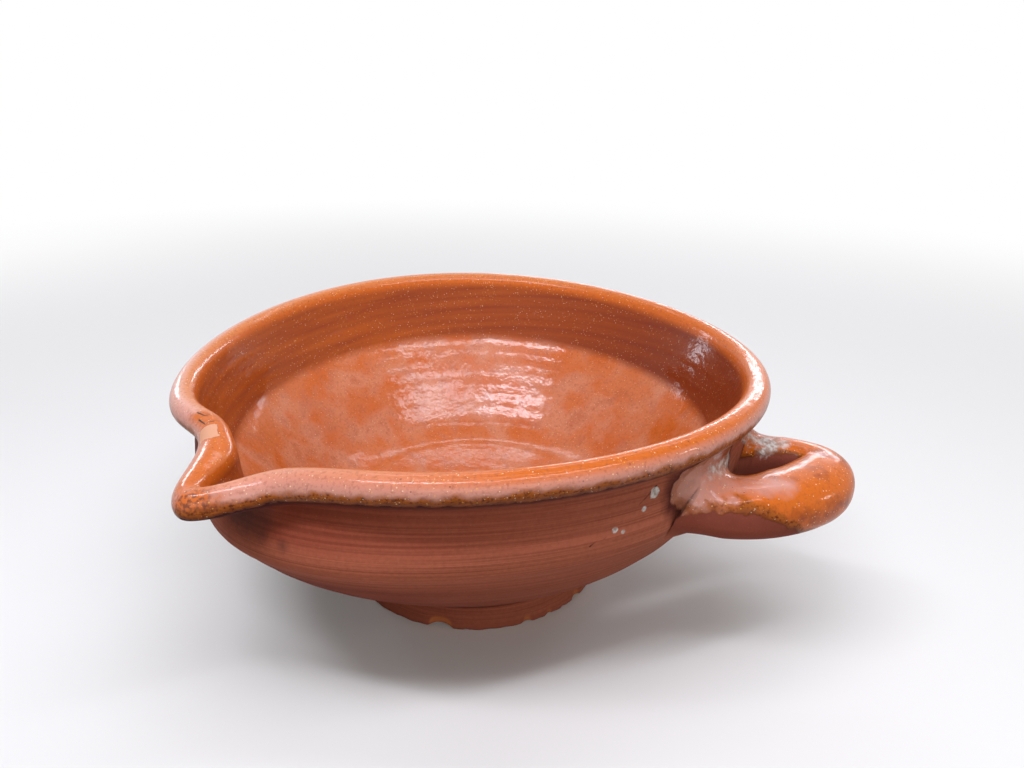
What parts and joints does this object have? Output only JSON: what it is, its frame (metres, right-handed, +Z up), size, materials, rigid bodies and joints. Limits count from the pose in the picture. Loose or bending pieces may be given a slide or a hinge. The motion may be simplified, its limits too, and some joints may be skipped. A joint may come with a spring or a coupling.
{
  "type": "dairy bowl",
  "caption": "Wide terracotta dairy bowl, glazed inside, with a sloping floor, a rolled rim drawn into a pouring lip, a low foot and a loop handle on the wall.",
  "frame": {"origin": "centre of the foot's underside, on the surface that the bowl stands on", "axes": "+Z up out of the mouth, +X towards the loop handle, so the pouring lip is at about 100 degrees clockwise from +X, near -Y"},
  "size_m": [0.3606, 0.3448, 0.1408],
  "materials": {
    "earthenware": "lead-glazed inside and over the rim, bare terracotta outside"
  },
  "bodies": {
    "root": {"bowl": "earthenware"}
  },
  "joints": []
}
